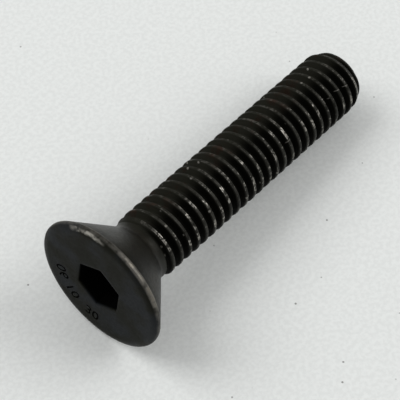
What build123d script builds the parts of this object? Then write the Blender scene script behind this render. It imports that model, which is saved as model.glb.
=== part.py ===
from build123d import *
from math import atan, degrees, radians, tan
import os

# Hexagon-socket countersunk screw, M6 x 30, threaded right up to the head.
# It is modelled on the Z axis, from the flat face of the head at z = 0 to the tip at
# z = length, and is then laid down as it rests: on the rim of its head and on the end
# of its thread. The threaded length is a plain cylinder at the size of the crests.

length = 30.3  # head face to tip, as a countersunk screw is measured; 30 mm nominal

# Head
head_dia = 11.9
face_edge = 0.75  # width of the rolled-over border of the face
face_drop = 0.22  # how far that border falls away from the face
rim_height = 0.5  # from the face to the back edge of the rim
cone_angle = 90.0  # included angle of the countersunk seat

# Hexagon socket
socket_flats = 4.0
socket_depth = 2.4
drill_angle = 118.0  # included angle of the drill point below the hexagon
socket_turn = 3.9  # from the underside of the screw to a corner of the hexagon, degrees

# Neck
neck_step = 0.23  # the neck is left this far below the crests, near the rolling blank
neck_round = 4.5  # long fillet between the cone and the neck
neck_height = 0.8  # from the end of the cone to where the thread begins to rise

# Threaded length
crest_dia = 5.82  # the real crest of an M6 thread, a little under its nominal size
crest_rise = 1.3  # length over which the first crests reach their full height
tip_taper = 1.0  # length over which the last crests fall away
tip_drop = 0.44  # how far the end face is below the crests

rim = head_dia / 2
crest = crest_dia / 2
neck = crest - neck_step


def turned_body():
    """The screw without its socket, turned about the Z axis."""
    cone_end = rim_height + (rim - neck) / tan(radians(cone_angle / 2))
    thread_start = cone_end + neck_height
    full_thread = thread_start + crest_rise
    with BuildSketch(Plane.XZ) as section:
        with BuildLine():
            Line((0, 0), (rim - face_edge, 0))
            TangentArc((rim - face_edge, 0), (rim, face_drop), tangent=(1, 0))
            Polyline(
                (rim, face_drop),
                (rim, rim_height),
                (neck, cone_end),
                (neck, full_thread),
                (0, full_thread),
                (0, 0),
            )
        make_face()
        under_head = section.vertices().sort_by_distance((neck, cone_end))[0]
        fillet(under_head, neck_round)
        # the threaded length grows out of the neck and falls away at the tip
        with BuildLine():
            Polyline(
                (0, thread_start),
                (neck, thread_start),
                (crest, full_thread),
                (crest, length - tip_taper),
                (crest - tip_drop, length),
                (0, length),
                close=True,
            )
        make_face()
    return revolve(section.sketch, Axis.Z)


def socket():
    """Hexagon with the cone of the drill point below it."""
    hexagon = extrude(RegularPolygon(socket_flats / 2, 6, major_radius=False), socket_depth)
    point_depth = socket_flats / 2 / tan(radians(drill_angle / 2))
    point = Pos(0, 0, socket_depth) * Cone(
        socket_flats / 2, 0, point_depth, align=(Align.CENTER, Align.CENTER, Align.MIN)
    )
    return Rot(0, 0, socket_turn) * (hexagon + point)


def upright_screw():
    """The whole screw on the Z axis; its +X side is the underside."""
    return turned_body() - socket()


def lay_down(screw):
    """Tilt until the back edge of the rim and the end of the full thread share the ground."""
    tilt = degrees(atan((rim - crest) / (length - tip_taper - rim_height)))
    laid = Rot(0, 90 + tilt, 0) * screw
    box = laid.bounding_box()
    middle = box.center()
    return Pos(-middle.X, -middle.Y, -box.min.Z) * laid


os.makedirs("parts", exist_ok=True)
export_step(lay_down(upright_screw()), "parts/screw.step")
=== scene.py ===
import math
from functools import partial

import bmesh
import bpy
import numpy as np
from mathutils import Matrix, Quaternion, Vector


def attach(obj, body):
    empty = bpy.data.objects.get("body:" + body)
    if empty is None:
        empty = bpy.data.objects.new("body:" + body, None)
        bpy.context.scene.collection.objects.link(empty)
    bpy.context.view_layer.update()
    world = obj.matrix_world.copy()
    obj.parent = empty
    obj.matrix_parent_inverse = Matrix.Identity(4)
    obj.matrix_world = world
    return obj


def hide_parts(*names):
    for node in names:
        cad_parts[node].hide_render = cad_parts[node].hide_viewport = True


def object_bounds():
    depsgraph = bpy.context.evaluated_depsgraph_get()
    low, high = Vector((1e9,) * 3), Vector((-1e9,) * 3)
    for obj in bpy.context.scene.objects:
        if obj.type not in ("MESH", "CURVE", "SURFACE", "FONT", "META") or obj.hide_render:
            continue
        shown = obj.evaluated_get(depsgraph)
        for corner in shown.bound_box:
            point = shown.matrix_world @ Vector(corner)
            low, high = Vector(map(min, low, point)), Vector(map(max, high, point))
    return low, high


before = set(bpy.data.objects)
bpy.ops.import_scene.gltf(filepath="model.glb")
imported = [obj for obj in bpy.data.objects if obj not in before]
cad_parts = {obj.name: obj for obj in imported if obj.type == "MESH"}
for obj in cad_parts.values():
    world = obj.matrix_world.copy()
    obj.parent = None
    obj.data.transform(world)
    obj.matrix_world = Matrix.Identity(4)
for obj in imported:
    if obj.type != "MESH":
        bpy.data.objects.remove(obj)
cadLow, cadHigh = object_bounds()
print("frame loaded")

# Sizes are in millimetres, measured along the screw from the flat face of its head.
# The screw is built upright with its underside towards +X, and laid down at the end.
mm = 0.001

bodySizes = {
    "length": 30.3,
    "rimRadius": 5.95,
    "crestRadius": 2.91,
    "neckRadius": 2.68,
    "tipTaper": 1.0,  # length over which the last crests fall away
    "tipDrop": 0.44,  # how far the end face is below the crests
    "columns": 96,  # a multiple of six, so each corner of the hexagon has a column
}


def calc(tree, operation, *values):
    # one maths node, or a chain of them for a sum, product or greatest of more than two values
    if operation in ("ADD", "MULTIPLY", "MAXIMUM") and len(values) > 2:
        values = (calc(tree, operation, *values[:-1]), values[-1])
    node = tree.nodes.new("ShaderNodeMath")
    node.operation = operation
    for socket, value in zip(node.inputs, values):
        if isinstance(value, (int, float)):
            socket.default_value = value
        else:
            tree.links.new(value, socket)
    return node.outputs[0]


def clamped(tree, value, low=0.0, high=1.0):
    return calc(tree, "MINIMUM", high, calc(tree, "MAXIMUM", low, value))


def partsOf(tree, vector):
    node = tree.nodes.new("ShaderNodeSeparateXYZ")
    tree.links.new(vector, node.inputs[0])
    return node.outputs


def vectorOf(tree, *parts):
    node = tree.nodes.new("ShaderNodeCombineXYZ")
    for socket, part in zip(node.inputs, parts):
        tree.links.new(part, socket)
    return node.outputs[0]


# Hexagon socket

socketSizes = {
    "flats": 4.0,
    "depth": 2.4,
    "turn": 3.9,  # degrees from the underside to a corner
    "wallRings": (0.97, 0.75, 0.5, 0.25, 0.08),  # shares of the depth, from the bottom up
    "footInset": 0.005,
    "edgeBreak": 0.06,
    "edgeMiddle": 0.3,  # share of the edge break at its middle, so that it is rounded
    "pointAngle": 118.0,  # of the drill point below the hexagon
    "pointInset": 0.03,  # how far its wide end is inside the flats
    "pointRings": (0.4, 0.9, 1.4, 1.85),  # radii on the way out from its tip
}


def roundRing(radius, z):
    columns = bodySizes["columns"]
    angles = math.radians(socketSizes["turn"]) + np.arange(columns) * 2 * math.pi / columns
    return np.c_[radius * np.cos(angles), radius * np.sin(angles), np.full(columns, z)]


def hexagonRing(halfFlats, z):
    # the first column is at a corner, and the middle of a flat is half a sector on
    columns, sector = bodySizes["columns"], math.pi / 3
    fromCorner = np.mod(np.arange(columns) * 2 * math.pi / columns, sector)
    return roundRing(halfFlats / np.cos(fromCorner - sector / 2), z)


def socketRings():
    halfFlats, depth = socketSizes["flats"] / 2, socketSizes["depth"]
    slope = math.tan(math.radians(socketSizes["pointAngle"] / 2))
    pointRadius = halfFlats - socketSizes["pointInset"]
    rings = []
    for radius in (*socketSizes["pointRings"], pointRadius):
        rings.append(roundRing(radius, depth + (pointRadius - radius) / slope))
    rings.append(hexagonRing(halfFlats - socketSizes["footInset"], depth))
    for share in socketSizes["wallRings"]:
        rings.append(hexagonRing(halfFlats, depth * share))
    edge = socketSizes["edgeBreak"]
    middle = edge * socketSizes["edgeMiddle"]
    rings.append(hexagonRing(halfFlats, edge))
    rings.append(hexagonRing(halfFlats + middle, middle))
    rings.append(hexagonRing(halfFlats + edge, 0.0))
    return (0.0, 0.0, depth + pointRadius / slope), rings


# Head, cone and the fillet down to the neck

headSizes = {
    "faceRings": (0.06, 0.2, 0.35, 0.5, 0.65, 0.8, 0.92, 1.0),  # shares of the way to the border
    "faceEdge": 0.75,  # width of the rolled border of the face
    "faceDrop": 0.22,  # how far that border falls away
    "borderRings": (0.12, 0.25, 0.4, 0.55, 0.7, 0.82, 0.91),  # shares of its arc
    "rimHeight": 0.5,
    "edgeRadius": 0.10,  # rounding of the two edges of the rim
    "frontAngles": (35, 55, 75, 90),  # rings on the two edges, in degrees
    "backAngles": (0, 15, 30, 45),
    "frontFlat": 0.8,  # the front edge is flatter than a round one
    "backInset": 0.6,  # start of the back edge before the rim's end, in edge radii
    "coneSlope": 0.865,  # fall of the radius for each millimetre along the screw
    "coneRows": 12,
    "neckRound": 0.8,
    "neckRows": 11,
    "end": 4.3,  # where the thread's own mesh takes over
}


def neckFillet():
    # the arc between cone and neck: its end and start along the screw, and its first radius
    slope = headSizes["coneSlope"]
    angle = math.atan(slope)
    tangent = headSizes["neckRound"] * math.tan(angle / 2)
    coneEnd = headSizes["rimHeight"] + (bodySizes["rimRadius"] - bodySizes["neckRadius"]) / slope
    start = coneEnd - tangent * math.cos(angle)
    return coneEnd + tangent, start, bodySizes["neckRadius"] + tangent * math.sin(angle)


def filletRadius(z):
    radius = headSizes["neckRound"]
    rest = max(0.0, neckFillet()[0] - z)
    return bodySizes["neckRadius"] + radius - math.sqrt(radius**2 - rest**2)


def faceRings():
    edge, drop = headSizes["faceEdge"], headSizes["faceDrop"]
    flatRadius = bodySizes["rimRadius"] - edge
    mouth = hexagonRing(socketSizes["flats"] / 2 + socketSizes["edgeBreak"], 0.0)
    outer = roundRing(flatRadius, 0.0)
    rings = [mouth * (1 - share) + outer * share for share in headSizes["faceRings"]]
    arc = (edge**2 + drop**2) / (2 * drop)
    for share in headSizes["borderRings"]:
        angle = math.asin(edge / arc) * share
        rings.append(roundRing(flatRadius + arc * math.sin(angle), arc - arc * math.cos(angle)))
    return rings


def headRings():
    soft = headSizes["edgeRadius"]
    rimCentre = bodySizes["rimRadius"] - soft
    rings = faceRings()
    for angle in np.radians(headSizes["frontAngles"]):
        fall = soft * (1 - math.cos(angle)) * headSizes["frontFlat"]
        rings.append(roundRing(rimCentre + soft * math.sin(angle), headSizes["faceDrop"] + fall))
    backZ = headSizes["rimHeight"] - soft * headSizes["backInset"]
    for angle in np.radians(headSizes["backAngles"]):
        coneTop = np.array((rimCentre + soft * math.cos(angle), backZ + soft * math.sin(angle)))
        rings.append(roundRing(*coneTop))
    # the cone, and the fillet tangent to it and to the neck
    _, filletZ, filletTop = neckFillet()
    coneFoot = np.array((filletTop, filletZ))
    for share in np.linspace(0, 1, headSizes["coneRows"] + 1)[1:]:
        rings.append(roundRing(*(coneTop + (coneFoot - coneTop) * share)))
    for z in np.linspace(filletZ, headSizes["end"], headSizes["neckRows"] + 1)[1:]:
        rings.append(roundRing(filletRadius(z), z))
    return rings


def ringMesh(name, apex, rings):
    # a skin through the rings, closed at its first end by the apex
    count = bodySizes["columns"]
    points = [apex] + [tuple(point) for ring in rings for point in ring]
    faces = [(0, 1 + (i + 1) % count, 1 + i) for i in range(count)]
    for row in range(len(rings) - 1):
        this, following = 1 + row * count, 1 + (row + 1) * count
        for i in range(count):
            j = (i + 1) % count
            faces.append((this + i, this + j, following + j, following + i))
    mesh = bpy.data.meshes.new(name)
    mesh.from_pydata(points, [], faces)
    return mesh


apex, innerRings = socketRings()
headMesh = ringMesh("screwHead", apex, innerRings + headRings())
print("head and socket made")


# Plain numbers sunk in the face, on an arc beside the socket

markSizes = {
    "texts": ("06", "10", "30"),
    "angles": (69.0, 41.0, 8.0),  # round the screw, from the underside
    "radius": 3.95,
    "height": 1.1,
    "fontScale": 1.35,  # size of the font for digits one millimetre high
    "depth": 0.09,
    "weight": 0.012,
    "curveSteps": 4,
    "mergeDistance": 0.0005,
}


def evaluatedMesh(holder):
    return bpy.data.meshes.new_from_object(holder.evaluated_get(bpy.context.evaluated_depsgraph_get()))


def flatText(text):
    curve = bpy.data.curves.new("mark", "FONT")
    curve.body = text
    curve.size = markSizes["height"] * markSizes["fontScale"]
    curve.align_x, curve.align_y = "CENTER", "CENTER"
    curve.offset = markSizes["weight"]
    curve.extrude = markSizes["depth"]
    curve.resolution_u = markSizes["curveSteps"]
    holder = bpy.data.objects.new("mark", curve)
    bpy.context.collection.objects.link(holder)
    mesh = evaluatedMesh(holder)
    bpy.data.objects.remove(holder)
    return mesh


def makeMarks():
    work = bmesh.new()
    for text, angle in zip(markSizes["texts"], np.radians(markSizes["angles"])):
        digits = flatText(text)
        cosine, sine = math.cos(angle), math.sin(angle)
        # read from outside the face, with the tops of the digits outwards
        for vertex in digits.vertices:
            side, out = vertex.co.x, vertex.co.y + markSizes["radius"]
            vertex.co = (out * cosine + side * sine, out * sine - side * cosine, vertex.co.z)
        work.from_mesh(digits)
    bmesh.ops.remove_doubles(work, verts=work.verts, dist=markSizes["mergeDistance"])
    bmesh.ops.recalc_face_normals(work, faces=work.faces)
    mesh = bpy.data.meshes.new("marks")
    work.to_mesh(mesh)
    work.free()
    return mesh


def sinkMarks(body):
    cutter = bpy.data.objects.new("marks", makeMarks())
    bpy.context.collection.objects.link(cutter)
    modifier = body.modifiers.new("marks", "BOOLEAN")
    modifier.operation, modifier.solver, modifier.object = "DIFFERENCE", "EXACT", cutter
    cut = evaluatedMesh(body)
    body.modifiers.remove(modifier)
    bpy.data.objects.remove(cutter)
    cut.name = "screwBody"
    body.data = cut


# Thread

threadSizes = {
    "Pitch": 1.0,
    "Pitch Radius": 2.675,
    "Root Radius": 2.40,
    "Crest Radius": bodySizes["crestRadius"],
    "Neck Radius": bodySizes["neckRadius"],
    "Neck Round": headSizes["neckRound"],
    "Fillet End": neckFillet()[0],  # of the fillet under the head
    "Flank Slope": 1.0 / math.tan(math.radians(30)),
    "Groove Start": 0.37,  # place of a groove on the underside, within one pitch
    "Start": headSizes["end"],
    "End": bodySizes["length"],
    "Floor Start": 4.3,  # where the groove leaves the size of the crests
    "Floor Run": 1.3,
    "Rise Start": 4.95,  # where the crests grow out of the neck
    "Rise Run": 0.5,
    "Tip Taper": bodySizes["tipTaper"],
    "Tip Drop": bodySizes["tipDrop"],
    "Root Rounding": 0.18,
    "Crest Rounding": 0.035,
    "Dent Depth": 0.07,
    "Dent Size": 0.8,
    "Dent Low": 0.55,  # level of the noise from which the crests are knocked in
    "Dent Gain": 4.0,
    "Dent Run": 0.4,  # from where the crests grow to where they are knocked in full
    "Noise Radius": 3.0,  # of the circle on which the noise is read
    "Seed": 4.0,
    "Edge Start": 0.38,  # distance from a groove at which a crest is worn, in pitches
    "Edge Run": 0.03,
    "Middle Start": 0.425,  # from here the wear is less
    "Middle Run": 0.04,
    "Middle Loss": 0.55,
    "Turn": math.radians(socketSizes["turn"]),  # of the first column, to match the head
    "Columns": bodySizes["columns"],
    "Turns": 28,  # two more than the length of the thread in pitches
    "Rows per Turn": 24,
    "Merge Distance": 0.0008,
}


def flatGrid(tree, given):
    # a grid of one by one, with each point's place across it and along it
    grid = tree.nodes.new("GeometryNodeMeshGrid")
    grid.inputs["Size X"].default_value = 1.0
    grid.inputs["Size Y"].default_value = 1.0
    rows = calc(tree, "MULTIPLY", given["Turns"], given["Rows per Turn"])
    tree.links.new(calc(tree, "ADD", given["Columns"], 1.0), grid.inputs["Vertices X"])
    tree.links.new(calc(tree, "ADD", rows, 1.0), grid.inputs["Vertices Y"])
    across, along, _ = partsOf(tree, tree.nodes.new("GeometryNodeInputPosition").outputs[0])
    return grid.outputs["Mesh"], calc(tree, "ADD", across, 0.5), calc(tree, "ADD", along, 0.5)


def helixPlace(tree, given, across, along):
    # place along the screw, angle round it, and distance from the middle of the groove
    m = partial(calc, tree)
    pitch = given["Pitch"]
    shift = m("MULTIPLY", m("DIVIDE", given["Turn"], 2 * math.pi), pitch)
    groove = m("ADD", given["Groove Start"], shift)
    before = m("DIVIDE", m("SUBTRACT", given["Start"], groove), pitch)
    first = m("MULTIPLY", m("FLOOR", m("SUBTRACT", before, 1.0)), pitch)
    # rows follow the helix: a row climbs one pitch for each time round
    turned = m("ADD", groove, m("MULTIPLY", across, pitch))
    climbed = m("ADD", first, m("MULTIPLY", along, given["Turns"], pitch), turned)
    z = clamped(tree, climbed, given["Start"], given["End"])
    angle = m("ADD", given["Turn"], m("MULTIPLY", across, 2 * math.pi))
    phase = m("FRACT", m("DIVIDE", m("SUBTRACT", z, turned), pitch))
    away = m("MULTIPLY", m("SUBTRACT", 0.5, m("ABSOLUTE", m("SUBTRACT", phase, 0.5))), pitch)
    return z, angle, away


def grooveRadius(tree, given, z, away):
    # the flanks, joined by a floor that deepens as the groove leaves the neck
    m = partial(calc, tree)
    # the pitch line crosses a flank a quarter of a pitch from the middle of the groove
    fromPitchLine = m("SUBTRACT", away, m("MULTIPLY", given["Pitch"], 0.25))
    flank = m("ADD", given["Pitch Radius"], m("MULTIPLY", fromPitchLine, given["Flank Slope"]))
    reached = m("DIVIDE", m("SUBTRACT", z, given["Floor Start"]), given["Floor Run"])
    height = m("SUBTRACT", given["Crest Radius"], given["Root Radius"])
    depth = m("MULTIPLY", clamped(tree, reached, -1.0), height)
    floorRadius = m("SUBTRACT", given["Crest Radius"], depth)
    return m("SMOOTH_MAX", floorRadius, flank, given["Root Rounding"])


def crestOutline(tree, given, z):
    # out of the fillet under the head, and down again at the tip
    m = partial(calc, tree)
    neck, crest, arc = given["Neck Radius"], given["Crest Radius"], given["Neck Round"]
    rest = m("MAXIMUM", 0.0, m("SUBTRACT", given["Fillet End"], z))
    cosine = m("SQRT", m("SUBTRACT", m("MULTIPLY", arc, arc), m("MULTIPLY", rest, rest)))
    fillet = m("ADD", neck, m("SUBTRACT", arc, cosine))
    growth = m("DIVIDE", m("SUBTRACT", z, given["Rise Start"]), given["Rise Run"])
    rising = m("ADD", neck, m("MULTIPLY", growth, m("SUBTRACT", crest, neck)))
    outline = m("MINIMUM", crest, m("MAXIMUM", fillet, rising))
    tipStart = m("SUBTRACT", given["End"], given["Tip Taper"])
    past = m("DIVIDE", m("MAXIMUM", 0.0, m("SUBTRACT", z, tipStart)), given["Tip Taper"])
    return m("SUBTRACT", outline, m("MULTIPLY", past, given["Tip Drop"]))


def dents(tree, given, cosine, sine, z):
    # shallow knocks, scattered over the crests
    m = partial(calc, tree)
    node = tree.nodes.new("ShaderNodeTexNoise")
    node.noise_dimensions = "4D"
    node.inputs["Detail"].default_value = 2.0
    x, y = m("MULTIPLY", cosine, given["Noise Radius"]), m("MULTIPLY", sine, given["Noise Radius"])
    tree.links.new(vectorOf(tree, x, y, z), node.inputs["Vector"])
    tree.links.new(given["Seed"], node.inputs["W"])
    tree.links.new(m("DIVIDE", 1.0, given["Dent Size"]), node.inputs["Scale"])
    level = m("SUBTRACT", node.outputs[0], given["Dent Low"])
    share = clamped(tree, m("MULTIPLY", level, given["Dent Gain"]))
    return m("MULTIPLY", share, given["Dent Depth"])


def crestShare(tree, given, away):
    # how much a crest is worn: most on its two edges, less along its middle
    m = partial(calc, tree)

    def reached(start, run):
        past = m("SUBTRACT", away, m("MULTIPLY", given["Pitch"], given[start]))
        return clamped(tree, m("DIVIDE", past, m("MULTIPLY", given["Pitch"], given[run])))

    loss = m("MULTIPLY", reached("Middle Start", "Middle Run"), given["Middle Loss"])
    return m("MULTIPLY", reached("Edge Start", "Edge Run"), m("SUBTRACT", 1.0, loss))


def chainGeometry(tree, last, kind, **inputs):
    node = tree.nodes.new(kind)
    tree.links.new(last, node.inputs["Geometry"])
    for name, value in inputs.items():
        tree.links.new(value, node.inputs[name])
    return node


def threadTree():
    tree = bpy.data.node_groups.new("helicalThread", "GeometryNodeTree")
    sockets = tree.interface
    sockets.new_socket("Geometry", in_out="OUTPUT", socket_type="NodeSocketGeometry")
    for name in threadSizes:
        sockets.new_socket(name, in_out="INPUT", socket_type="NodeSocketFloat")
    sockets.new_socket("Material", in_out="INPUT", socket_type="NodeSocketMaterial")
    given = tree.nodes.new("NodeGroupInput").outputs
    result = tree.nodes.new("NodeGroupOutput")

    m = partial(calc, tree)
    mesh, across, along = flatGrid(tree, given)
    z, angle, away = helixPlace(tree, given, across, along)
    cosine, sine = m("COSINE", angle), m("SINE", angle)
    inThread = clamped(tree, m("DIVIDE", m("SUBTRACT", z, given["Rise Start"]), given["Dent Run"]))
    outline = crestOutline(tree, given, z)
    dented = m("SUBTRACT", outline, m("MULTIPLY", dents(tree, given, cosine, sine, z), inThread))
    radius = m("SMOOTH_MIN", dented, grooveRadius(tree, given, z, away), given["Crest Rounding"])

    # what the finish reads: wear of the crests, and depth in the groove
    height = m("SUBTRACT", given["Crest Radius"], given["Root Radius"])
    stored = {
        "crest": m("MULTIPLY", crestShare(tree, given, away), inThread),
        "groove": m("DIVIDE", m("SUBTRACT", outline, radius), height),
    }
    for name, value in stored.items():
        store = chainGeometry(tree, mesh, "GeometryNodeStoreNamedAttribute", Value=value)
        store.data_type, store.domain = "FLOAT", "POINT"
        store.inputs["Name"].default_value = name
        mesh = store.outputs["Geometry"]
    spot = vectorOf(tree, m("MULTIPLY", radius, cosine), m("MULTIPLY", radius, sine), z)
    move = chainGeometry(tree, mesh, "GeometryNodeSetPosition", Position=spot)
    merge = chainGeometry(
        tree, move.outputs[0], "GeometryNodeMergeByDistance", Distance=given["Merge Distance"]
    )
    realize = chainGeometry(tree, merge.outputs[0], "GeometryNodeRealizeInstances")
    paint = chainGeometry(
        tree, realize.outputs[0], "GeometryNodeSetMaterial", Material=given["Material"]
    )
    tree.links.new(paint.outputs[0], result.inputs[0])
    return tree


def makeThread(material):
    tree = threadTree()
    holder = bpy.data.objects.new("threadHolder", bpy.data.meshes.new("threadHolder"))
    bpy.context.collection.objects.link(holder)
    modifier = holder.modifiers.new("thread", "NODES")
    modifier.node_group = tree
    keys = {item.name: item.identifier for item in tree.interface.items_tree if item.in_out == "INPUT"}
    for name, value in threadSizes.items():
        modifier[keys[name]] = float(value)
    modifier[keys["Material"]] = material
    mesh = evaluatedMesh(holder)
    holder.modifiers.remove(modifier)
    bpy.data.objects.remove(holder)
    return mesh


# Finish: black oxide over steel, rubbed through on the rim and the crests, with painted highlights where
# that bare metal gathers on the lamp side, painted light on the upper side of the thread and painted shade
# in the socket

# size in millimetres, detail and seed of each noise
noiseSizes = {
    "patches": (2.2, 3.0, 7.0),
    "blotches": (0.8, 3.0, 15.0),
    "rustSpots": (1.3, 4.0, 10.0),
    "scuffs": (0.9, 3.0, 12.0),
    "dashes": (0.9, 3.0, 13.0),
    "knocks": (0.45, 2.0, 9.0),
    "fine": (0.22, 3.0, 8.0),
    "grain": (0.16, 3.0, 11.0),
}

rimBack, headEnd = headSizes["rimHeight"], headSizes["end"]
borderStart = bodySizes["rimRadius"] - headSizes["faceEdge"]
socketCorner = (socketSizes["flats"] / 2 + socketSizes["edgeBreak"]) / math.cos(math.pi / 6)

# where each of these starts and is full, along the screw
alongScrew = {
    "behindRim": (rimBack - 0.15, rimBack + 0.05),
    "onCone": (rimBack + 0.05, rimBack + 1.4),
    "beforeThread": (headEnd + 0.7, headEnd - 0.1),
    "ontoThread": (headEnd - 0.1, headEnd + 0.7),
    "onThread": (headEnd + 0.1, headEnd + 0.7),
    "inHead": (headEnd + 0.1, headEnd - 0.2),
    "inSocket": (0.02, 0.25),
    "belowFace": (0.02, 0.06),
    "inMarks": (0.3, 0.25),
}

# and outwards from its axis
fromAxis = {
    "inSocket": (socketCorner + 0.04, socketCorner - 0.04),
    "besideSocket": (socketCorner + 0.04, socketCorner + 0.12),
    "insideBorder": (borderStart - 0.05, borderStart - 0.15),
}


# A pair of numbers in the dictionaries of the finish is the start and end of such a ramp, and
# two more are its levels there.
def ramp(tree, value, low, high, first=0.0, last=1.0):
    node = tree.nodes.new("ShaderNodeMapRange")
    node.interpolation_type = "SMOOTHSTEP"
    tree.links.new(value, node.inputs["Value"])
    for name, number in (("From Min", low), ("From Max", high), ("To Min", first), ("To Max", last)):
        node.inputs[name].default_value = number
    return node.outputs["Result"]


def noise(tree, vector, size, detail, seed):
    node = tree.nodes.new("ShaderNodeTexNoise")
    node.noise_dimensions = "4D"
    tree.links.new(vector, node.inputs["Vector"])
    node.inputs["Scale"].default_value = 1.0 / size
    node.inputs["Detail"].default_value = detail
    node.inputs["W"].default_value = seed
    return node.outputs[0]


def blend(tree, share, first, second):
    node = tree.nodes.new("ShaderNodeMix")
    node.data_type = "RGBA"
    tree.links.new(share, node.inputs["Factor"])
    for socket, colour in ((node.inputs[6], first), (node.inputs[7], second)):
        if isinstance(colour, tuple):
            socket.default_value = (*colour, 1)
        else:
            tree.links.new(colour, socket)
    return node.outputs[2]


def attribute(tree, name, output="Fac"):
    node = tree.nodes.new("ShaderNodeAttribute")
    node.attribute_name = name
    return node.outputs[output]


def reachTowards(tree, at, degrees):
    # distance from the axis towards an angle round the screw
    cosine, sine = math.cos(math.radians(degrees)), math.sin(math.radians(degrees))
    return calc(tree, "ADD", calc(tree, "MULTIPLY", at["x"], cosine), calc(tree, "MULTIPLY", at["y"], sine))


def sector(tree, at, degrees, spread):
    # one near an angle round the screw, falling to nothing at the spread
    fullShare, leastRadius = 0.3, 0.01
    radius = calc(tree, "MAXIMUM", at["radius"], leastRadius)
    facing = calc(tree, "DIVIDE", reachTowards(tree, at, degrees), radius)
    return ramp(tree, facing, math.cos(math.radians(spread)), math.cos(math.radians(spread * fullShare)))


def surfacePoint(tree):
    # where a point lies on the upright screw, in millimetres, and the noises there
    place = attribute(tree, "place", "Vector")
    x, y, z = partsOf(tree, place)
    squared = calc(tree, "ADD", calc(tree, "MULTIPLY", x, x), calc(tree, "MULTIPLY", y, y))
    at = {"place": place, "x": x, "y": y, "z": z, "radius": calc(tree, "SQRT", squared)}
    at["crest"], at["groove"] = attribute(tree, "crest"), attribute(tree, "groove")
    for name, values in noiseSizes.items():
        at[name] = noise(tree, place, *values)
    return at


oxide = {
    "faceBlack": (0.0080, 0.0081, 0.0056),
    "faceBlue": (0.0078, 0.0094, 0.0114),
    "faceBlend": (0.42, 0.62),
    "coneBrown": (0.0098, 0.0084, 0.0052),
    "coneDark": (0.0026, 0.0024, 0.0014),
    "coneBlend": (0.38, 0.64),
    "blotchBlend": (0.45, 0.62),
    "blotchShare": 0.6,
    "threadBlack": (0.0052, 0.0052, 0.0036),
    "threadGrey": (0.0120, 0.0120, 0.0090),
    "threadBlend": (0.40, 0.66),
    "grooveBlack": (0.0022, 0.0022, 0.0016),
    "grooveBlend": (0.04, 0.30),
    "markBlack": (0.0045, 0.0046, 0.0038),
    "socketShade": (0.0015, 0.0016, 0.0016),
    # the upper side of the thread, where the left lamp falls, is painted lighter as painted light, and it
    # is a little rusty
    "upperAngle": 138.0,
    "upperSpread": 64.0,
    "litSideCrest": (0.0170, 0.0170, 0.0128),
    "litSideGroove": (0.0330, 0.0325, 0.0245),
    "litSideBlend": (0.05, 0.40),
    "litSideShare": 0.85,
    "litSideOverGroove": 0.6,
    "rust": (0.0300, 0.0170, 0.0120),
    "rustSpread": 62.0,
    "rustBlend": (0.53, 0.68),
    "rustShare": 0.8,
}


def finishAreas(tree, at):
    # each is one inside its area of the screw, and nothing outside it
    m = partial(calc, tree)
    z = {name: ramp(tree, at["z"], *pair) for name, pair in alongScrew.items()}
    r = {name: ramp(tree, at["radius"], *pair) for name, pair in fromAxis.items()}
    upper = sector(tree, at, oxide["upperAngle"], oxide["upperSpread"])
    # grooves are darkened less on the upper side, as painted light
    clear = m("SUBTRACT", 1.0, m("MULTIPLY", upper, oxide["litSideOverGroove"]))
    return {
        "behindRim": z["behindRim"],
        "cone": m("MULTIPLY", z["onCone"], z["beforeThread"]),
        "ontoThread": z["ontoThread"],
        "upper": upper,
        "litSide": m("MULTIPLY", upper, z["onThread"]),
        "deep": m("MULTIPLY", ramp(tree, at["groove"], *oxide["grooveBlend"]), clear),
        "socket": m("MULTIPLY", r["inSocket"], z["inSocket"], z["inHead"]),
        "marks": m("MULTIPLY", z["belowFace"], r["insideBorder"], r["besideSocket"], z["inMarks"]),
    }


def oxideColour(tree, at, areas):
    # bluish on the face, brown and matt on the cone, grey to black on the thread
    def mixed(name, first, second):
        return blend(tree, ramp(tree, at["patches"], *oxide[name]), oxide[first], oxide[second])

    def share(value, name):
        return calc(tree, "MULTIPLY", value, oxide[name])

    face = mixed("faceBlend", "faceBlack", "faceBlue")
    cone = mixed("coneBlend", "coneBrown", "coneDark")
    blotches = share(ramp(tree, at["blotches"], *oxide["blotchBlend"]), "blotchShare")
    cone = blend(tree, blotches, cone, oxide["coneDark"])
    thread = mixed("threadBlend", "threadBlack", "threadGrey")
    # painted light: a lighter grey on the upper side of the thread, over crests and grooves
    litSideColour = ramp(tree, at["groove"], *oxide["litSideBlend"])
    litSideColour = blend(tree, litSideColour, oxide["litSideCrest"], oxide["litSideGroove"])
    thread = blend(tree, share(areas["upper"], "litSideShare"), thread, litSideColour)
    rusty = sector(tree, at, oxide["upperAngle"], oxide["rustSpread"])
    rusty = calc(tree, "MULTIPLY", rusty, ramp(tree, at["rustSpots"], *oxide["rustBlend"]))
    thread = blend(tree, share(rusty, "rustShare"), thread, oxide["rust"])
    thread = blend(tree, areas["deep"], thread, oxide["grooveBlack"])
    colour = blend(tree, areas["behindRim"], face, cone)
    colour = blend(tree, areas["ontoThread"], colour, thread)
    # the socket is painted near black: painted shade in its depth
    colour = blend(tree, areas["socket"], colour, oxide["socketShade"])
    return blend(tree, areas["marks"], colour, oxide["markBlack"])


borderWear = {
    "angle": 165.0,
    "spread": 20.0,
    "inside": (borderStart + 0.28, borderStart + 0.54),  # blurred by the knocks
    "blur": 0.5,
    "outside": (bodySizes["rimRadius"] - 0.02, bodySizes["rimRadius"] - 0.11),
    "back": (headSizes["faceDrop"] + 0.08, headSizes["faceDrop"] - 0.02),
    "scuffs": (0.38, 0.60, 0.08, 1.0),
}


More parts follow.
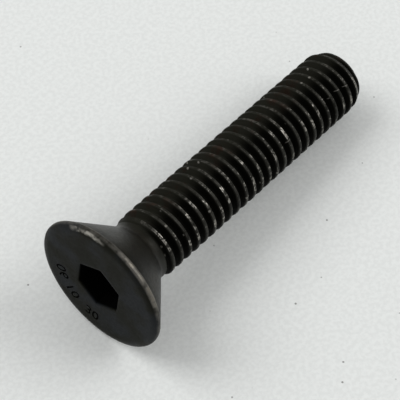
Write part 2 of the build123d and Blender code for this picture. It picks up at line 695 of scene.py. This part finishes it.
def wornBorder(tree, at):
    m = partial(calc, tree)
    blur = m("MULTIPLY", m("SUBTRACT", at["knocks"], 0.5), borderWear["blur"])
    inside = ramp(tree, m("ADD", at["radius"], blur), *borderWear["inside"])
    outside = ramp(tree, at["radius"], *borderWear["outside"])
    back = ramp(tree, at["z"], *borderWear["back"])
    here = sector(tree, at, borderWear["angle"], borderWear["spread"])
    return m("MULTIPLY", inside, outside, back, here, ramp(tree, at["scuffs"], *borderWear["scuffs"]))


# bare metal on the back edge of the rim, strongest where the lamp's highlight falls on it: partly wear,
# partly a painted highlight
rimWearAndHighlight = {
    "angle": 224.0,
    "spread": 34.0,
    "strength": 0.78,
    "elsewhere": 0.22,  # share of the wear on the rest of the rim
    "inwards": 0.05,  # from the radius of the rim to the middle of the wear
    "forwards": 0.09,  # and from the back of the rim
    "reach": (0.32, 0.10),
    "knocks": (0.34, 0.58, 0.35, 1.0),
    "scuffs": (0.38, 0.58, 0.5, 1.0),
}


def wornRimAndHighlight(tree, at):
    m = partial(calc, tree)
    inwards = m("SUBTRACT", at["radius"], bodySizes["rimRadius"] - rimWearAndHighlight["inwards"])
    backwards = m("SUBTRACT", at["z"], rimBack - rimWearAndHighlight["forwards"])
    away = m("SQRT", m("ADD", m("MULTIPLY", inwards, inwards), m("MULTIPLY", backwards, backwards)))
    here = sector(tree, at, rimWearAndHighlight["angle"], rimWearAndHighlight["spread"])
    often = m("ADD", rimWearAndHighlight["elsewhere"], m("MULTIPLY", here, 1 - rimWearAndHighlight["elsewhere"]))
    patchy = [ramp(tree, at[name], *rimWearAndHighlight[name]) for name in ("knocks", "scuffs")]
    return m("MULTIPLY", ramp(tree, away, *rimWearAndHighlight["reach"]), often, *patchy, rimWearAndHighlight["strength"])


# crest wear, with bright dashes gathered round the angle where the lamps' highlights fall: wear and painted
# glints
crestWearAndGlints = {
    "angle": 238.0,
    "dull": {"spread": 100.0, "elsewhere": 0.08, "strength": 0.07},
    "glints": {"spread": 55.0, "elsewhere": 0.16, "strength": 1.0},
    "dashes": (0.51, 0.60),
    "knocks": (0.57, 0.66),
    "knockShare": 0.6,
    "broken": (0.43, 0.57, 0.08, 1.0),  # by the fine noise
    "nickCells": 0.9,  # to a millimetre
    "nickReach": (0.13, 0.05),
    "nickDepth": (0.45, 0.2),
    "nickStart": (headEnd + 0.3, headEnd + 1.1),
    "nickShare": 0.5,
}


def wornCrestsAndGlints(tree, at):
    m = partial(calc, tree)

    def around(values):
        here = sector(tree, at, crestWearAndGlints["angle"], values["spread"])
        share = m("ADD", values["elsewhere"], m("MULTIPLY", here, 1 - values["elsewhere"]))
        return m("MULTIPLY", share, values["strength"])

    # a dull rub all along a crest, and bright dashes, both gathered towards the side where the lamps'
    # highlights fall: partly wear, partly painted glints
    knocked = m("MULTIPLY", ramp(tree, at["knocks"], *crestWearAndGlints["knocks"]), crestWearAndGlints["knockShare"])
    dashes = m("MAXIMUM", ramp(tree, at["dashes"], *crestWearAndGlints["dashes"]), knocked)
    rubAndGlints = m("ADD", around(crestWearAndGlints["dull"]), m("MULTIPLY", dashes, around(crestWearAndGlints["glints"])))
    wornAndGlints = m("MULTIPLY", at["crest"], rubAndGlints, ramp(tree, at["fine"], *crestWearAndGlints["broken"]))

    cells = tree.nodes.new("ShaderNodeTexVoronoi")
    tree.links.new(at["place"], cells.inputs["Vector"])
    cells.inputs["Scale"].default_value = crestWearAndGlints["nickCells"]
    near = ramp(tree, cells.outputs["Distance"], *crestWearAndGlints["nickReach"])
    shallow = ramp(tree, at["groove"], *crestWearAndGlints["nickDepth"])
    nicks = m("MULTIPLY", near, shallow, ramp(tree, at["z"], *crestWearAndGlints["nickStart"]))
    return m("MINIMUM", m("MAXIMUM", wornAndGlints, m("MULTIPLY", nicks, crestWearAndGlints["nickShare"])), 1.0)


# fine lines over the crests: place along the screw, angle round it, lean from its axis and length
scratches = (
    {"height": 27.9, "angle": 224.0, "lean": 10.0, "length": 1.0},
    {"height": 26.0, "angle": 222.0, "lean": 14.0, "length": 0.4},
    {"height": 20.4, "angle": 232.0, "lean": -20.0, "length": 0.5},
)
scratchSizes = {
    "width": (0.05, 0.02),
    "fullLength": 0.7,
    "nearSide": (0.5, 1.0),
    "depth": (0.7, 0.3),
    "strength": 0.28,
}


def scratch(tree, at, line):
    m = partial(calc, tree)
    lean = math.radians(line["lean"])
    beside = reachTowards(tree, at, line["angle"] + 90)
    above = m("SUBTRACT", at["z"], line["height"])
    off = m("SUBTRACT", m("MULTIPLY", beside, math.cos(lean)), m("MULTIPLY", above, math.sin(lean)))
    on = m("ADD", m("MULTIPLY", beside, math.sin(lean)), m("MULTIPLY", above, math.cos(lean)))
    across = ramp(tree, m("ABSOLUTE", off), *scratchSizes["width"])
    length = line["length"]
    lengthwise = ramp(tree, m("ABSOLUTE", on), length, length * scratchSizes["fullLength"])
    nearSide = ramp(tree, reachTowards(tree, at, line["angle"]), *scratchSizes["nearSide"])
    shallow = ramp(tree, at["groove"], *scratchSizes["depth"])
    return m("MULTIPLY", across, lengthwise, nearSide, shallow, scratchSizes["strength"])


surface = {
    "rubbedAndGlint": (0.42, 0.40, 0.36),
    "rubbedRimAndHighlight": (0.135, 0.118, 0.092),
    "sheen": (1.0, 0.985, 0.90),
    "specular": (headSizes["faceDrop"] - 0.02, rimBack, 0.05, 0.11),
    "coneSpecular": 0.125,
    "patchy": (0.35, 0.65, 0.75, 1.25),
    "litSideSpecularLoss": 0.8,
    "deepLoss": 0.85,
    "rough": 0.42,
    "coneSmooth": 0.02,
    "fineRough": 0.35,
    "rimRough": 0.12,
    "bareSmooth": 0.12,
    "bumpStrength": 0.5,
    "bumpHeight": 0.02,
}


def specularLevel(tree, at, areas):
    m = partial(calc, tree)

    def without(area, name):
        return m("SUBTRACT", 1.0, m("MULTIPLY", area, surface[name]))

    level = ramp(tree, at["z"], *surface["specular"])
    level = m("ADD", level, m("MULTIPLY", areas["cone"], surface["coneSpecular"]))
    matt = m("MAXIMUM", areas["deep"], areas["socket"], areas["marks"])
    patchy = ramp(tree, at["patches"], *surface["patchy"])
    return m("MULTIPLY", level, patchy, without(areas["litSide"], "litSideSpecularLoss"), without(matt, "deepLoss"))


def roughness(tree, at, areas, onRim, bareAndGlints):
    m = partial(calc, tree)
    rough = m("SUBTRACT", surface["rough"], m("MULTIPLY", areas["cone"], surface["coneSmooth"]))
    fine = m("MULTIPLY", m("SUBTRACT", at["fine"], 0.5), surface["fineRough"])
    rough = m("ADD", rough, fine, m("MULTIPLY", onRim, surface["rimRough"]))
    return m("SUBTRACT", rough, m("MULTIPLY", bareAndGlints, surface["bareSmooth"]))


def screwFinish():
    material = bpy.data.materials.new("blackOxide")
    material.use_nodes = True
    tree = material.node_tree
    shader = next(n for n in tree.nodes if n.type == "BSDF_PRINCIPLED")
    at = surfacePoint(tree)
    areas = finishAreas(tree, at)

    # bare metal: border of the face, back edge of the rim, crests and scratches; on the rim and the crests
    # it is gathered where the lamps' highlights fall, so it is partly wear and partly painted highlight
    onRim = wornRimAndHighlight(tree, at)
    lines = [scratch(tree, at, line) for line in scratches]
    bareAndGlints = calc(tree, "MAXIMUM", wornBorder(tree, at), onRim, wornCrestsAndGlints(tree, at), *lines)
    rubbedAndGlint = blend(tree, onRim, surface["rubbedAndGlint"], surface["rubbedRimAndHighlight"])
    colour = blend(tree, bareAndGlints, oxideColour(tree, at, areas), rubbedAndGlint)
    tree.links.new(colour, shader.inputs["Base Color"])
    tree.links.new(bareAndGlints, shader.inputs["Metallic"])
    tree.links.new(specularLevel(tree, at, areas), shader.inputs["Specular IOR Level"])
    tree.links.new(roughness(tree, at, areas, onRim, bareAndGlints), shader.inputs["Roughness"])
    shader.inputs["Specular Tint"].default_value = (*surface["sheen"], 1)

    bump = tree.nodes.new("ShaderNodeBump")
    bump.inputs["Strength"].default_value = surface["bumpStrength"]
    bump.inputs["Distance"].default_value = surface["bumpHeight"] * mm
    tree.links.new(at["grain"], bump.inputs["Height"])
    tree.links.new(bump.outputs[0], shader.inputs["Normal"])
    return material


finishMaterial = screwFinish()
threadMesh = makeThread(finishMaterial)
print("thread made:", len(threadMesh.polygons), "faces")


joinSizes = {
    "seam": 0.002,  # distances in millimetres within which points are merged
    "closing": 0.0005,
    "sliver": 0.0002,  # edges shorter than this are dissolved
    "tipTolerance": 0.001,
    "tipRings": (0.85, 0.6, 0.3),  # shares of the radius of the end face
    "sharpAngle": 38.0,
}


def closeTip(work):
    # carries the skin from the open end of the thread in to the axis
    end = bodySizes["length"]

    def atEnd(edge):
        return all(abs(vertex.co.z - end) < joinSizes["tipTolerance"] for vertex in edge.verts)

    edges = [edge for edge in work.edges if edge.is_boundary and atEnd(edge)]
    for share in joinSizes["tipRings"]:
        made = bmesh.ops.extrude_edge_only(work, edges=edges)["geom"]
        fresh = {item for item in made if isinstance(item, bmesh.types.BMVert)}
        edges = [item for item in made if isinstance(item, bmesh.types.BMEdge)]
        edges = [edge for edge in edges if fresh.issuperset(edge.verts)]
        radius = (bodySizes["crestRadius"] - bodySizes["tipDrop"]) * share
        for vertex in fresh:
            flat = Vector((vertex.co.x, vertex.co.y, 0)).normalized() * radius
            vertex.co = (flat.x, flat.y, end)
    centre = work.verts.new((0, 0, end))
    for edge in edges:
        work.faces.new((*edge.verts, centre))


def assembleScrew():
    work = bmesh.new()
    work.from_mesh(headMesh)
    work.from_mesh(threadMesh)
    bmesh.ops.remove_doubles(work, verts=work.verts, dist=joinSizes["seam"])
    closeTip(work)
    bmesh.ops.remove_doubles(work, verts=work.verts, dist=joinSizes["closing"])
    bmesh.ops.dissolve_degenerate(work, edges=work.edges, dist=joinSizes["sliver"])
    bmesh.ops.recalc_face_normals(work, faces=work.faces)
    print("open edges:", sum(1 for e in work.edges if not e.is_manifold))
    if work.calc_volume(signed=True) < 0:
        bmesh.ops.reverse_faces(work, faces=work.faces)
    mesh = bpy.data.meshes.new("screwBody")
    work.to_mesh(mesh)
    work.free()
    mesh.materials.clear()
    mesh.materials.append(finishMaterial)
    body = bpy.data.objects.new("screwBody", mesh)
    bpy.context.collection.objects.link(body)
    return body


def layDown(mesh):
    # on the rim of its head and the end of its thread; the finish keeps the upright place
    upright = np.empty(len(mesh.vertices) * 3, dtype=np.float32)
    mesh.vertices.foreach_get("co", upright)
    place = mesh.attributes.new("place", "FLOAT_VECTOR", "POINT")
    place.data.foreach_set("vector", upright)
    rim, crest = bodySizes["rimRadius"], bodySizes["crestRadius"]
    back, length = headSizes["rimHeight"], bodySizes["length"]
    tilt = math.atan((rim - crest) / (length - bodySizes["tipTaper"] - back))
    cosine, sine = math.cos(tilt), math.sin(tilt)
    tipTop = length * cosine + (crest - bodySizes["tipDrop"]) * sine
    shiftX = cadHigh.x / mm - tipTop
    shiftZ = rim * cosine + back * sine
    x, y, z = upright.astype(float).reshape(-1, 3).T
    laid = np.c_[-x * sine + z * cosine + shiftX, y, -x * cosine - z * sine + shiftZ] * mm
    mesh.vertices.foreach_set("co", laid.astype(np.float32).ravel())
    mesh.polygons.foreach_set("use_smooth", [True] * len(mesh.polygons))
    mesh.polygons.foreach_set("material_index", [0] * len(mesh.polygons))
    mesh.update()
    mesh.set_sharp_from_angle(angle=math.radians(joinSizes["sharpAngle"]))


screwBody = assembleScrew()
sinkMarks(screwBody)
layDown(screwBody.data)
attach(screwBody, "root")
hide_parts("screw")
print("screw assembled")


# Floor, lamps and camera

room = {
    "floorHalf": 1500.0,
    "floor": (0.84, 0.86, 0.845),
    "floorRough": 0.9,
    "floorSpecular": 0.1,
    "mottle": 0.035,
    "mottleSize": 0.35,
    "mottleBlend": (0.35, 0.65),
    "speck": (0.26, 0.26, 0.25),
    "speckSpacing": 1.6,
    "speckReach": (0.075, 0.03),  # in spacings
    "speckChance": (0.66, 0.95),
    "ambient": 0.40,
    "leftLamp": {"azimuth": -75.0, "elevation": 50.0, "distance": 500.0, "size": 320.0, "level": 0.33},
    "rightLamp": {"azimuth": 85.0, "elevation": 40.0, "distance": 500.0, "size": 320.0, "level": 0.25},
}

lens = {
    "focal": 143.4,
    "sensor": 36.0,
    "aim": (-2.21, 0.581, 3.0),
    "distance": 130.22,
    "azimuth": -49.616,
    "elevation": 56.462,
    "roll": 0.19,
    "nearest": 5.0,
    "farthest": 10000.0,
}


def direction(azimuth, elevation):
    # a unit vector; azimuth 0 is towards -Y, and it grows towards +X
    azimuth, elevation = math.radians(azimuth), math.radians(elevation)
    level = math.cos(elevation)
    return Vector((math.sin(azimuth) * level, -math.cos(azimuth) * level, math.sin(elevation)))


def makeCamera():
    data = bpy.data.cameras.new("camera")
    data.sensor_width = lens["sensor"]
    data.lens = lens["focal"]
    data.clip_start, data.clip_end = lens["nearest"] * mm, lens["farthest"] * mm
    camera = bpy.data.objects.new("camera", data)
    back = direction(lens["azimuth"], lens["elevation"])
    camera.location = (Vector(lens["aim"]) + back * lens["distance"]) * mm
    camera.rotation_mode = "QUATERNION"
    turn = Quaternion((0, 0, 1), math.radians(lens["roll"]))
    camera.rotation_quaternion = (-back).to_track_quat("-Z", "Y") @ turn
    bpy.context.collection.objects.link(camera)
    bpy.context.scene.camera = camera


def makeLamp(name):
    # azimuths are counted clockwise from the far side of the floor, as the camera sees it
    values = room[name]
    data = bpy.data.lights.new(name, "AREA")
    data.shape = "SQUARE"
    data.size = values["size"] * mm
    towards = direction(lens["azimuth"] + 180.0 - values["azimuth"], values["elevation"])
    distance = values["distance"] * mm
    # the level is what falls on the floor below, so a slanting lamp is stronger
    data.energy = values["level"] * math.pi**2 * distance**2 / towards.z
    lamp = bpy.data.objects.new(name, data)
    lamp.location = towards * distance
    lamp.rotation_mode = "QUATERNION"
    lamp.rotation_quaternion = (-towards).to_track_quat("-Z", "Y")
    bpy.context.collection.objects.link(lamp)


def floorColour(tree):
    # pale and slightly mottled, with a few specks of dust: most of the cells stay empty
    place = tree.nodes.new("ShaderNodeTexCoord").outputs["Object"]
    mottle = tree.nodes.new("ShaderNodeTexNoise")
    mottle.inputs["Scale"].default_value = 1 / (room["mottleSize"] * mm)
    mottle.inputs["Detail"].default_value = 3.0
    tree.links.new(place, mottle.inputs["Vector"])
    pale = tuple(v * (1 + room["mottle"]) for v in room["floor"])
    dim = tuple(v * (1 - room["mottle"]) for v in room["floor"])
    paper = blend(tree, ramp(tree, mottle.outputs[0], *room["mottleBlend"]), dim, pale)
    cells = tree.nodes.new("ShaderNodeTexVoronoi")
    cells.inputs["Scale"].default_value = 1 / (room["speckSpacing"] * mm)
    tree.links.new(place, cells.inputs["Vector"])
    near = ramp(tree, cells.outputs["Distance"], *room["speckReach"])
    chance = ramp(tree, partsOf(tree, cells.outputs["Color"])[0], *room["speckChance"])
    return blend(tree, calc(tree, "MULTIPLY", near, chance), paper, room["speck"])


def makeFloor():
    material = bpy.data.materials.new("paleFloor")
    material.use_nodes = True
    tree = material.node_tree
    shader = next(n for n in tree.nodes if n.type == "BSDF_PRINCIPLED")
    tree.links.new(floorColour(tree), shader.inputs["Base Color"])
    shader.inputs["Roughness"].default_value = room["floorRough"]
    shader.inputs["Specular IOR Level"].default_value = room["floorSpecular"]
    mesh = bpy.data.meshes.new("floor")
    half = room["floorHalf"] * mm
    corners = [(-half, -half, 0), (half, -half, 0), (half, half, 0), (-half, half, 0)]
    mesh.from_pydata(corners, [], [(0, 1, 2, 3)])
    mesh.materials.append(material)
    floor = bpy.data.objects.new("floor", mesh)
    bpy.context.collection.objects.link(floor)


def makeWorld():
    world = bpy.data.worlds.new("room")
    world.use_nodes = True
    background = next(n for n in world.node_tree.nodes if n.type == "BACKGROUND")
    background.inputs["Color"].default_value = (1, 1, 1, 1)
    background.inputs["Strength"].default_value = room["ambient"]
    bpy.context.scene.world = world


makeCamera()
makeLamp("leftLamp")
makeLamp("rightLamp")
makeFloor()
makeWorld()
bpy.context.scene.view_settings.view_transform = "Standard"
print("room made")
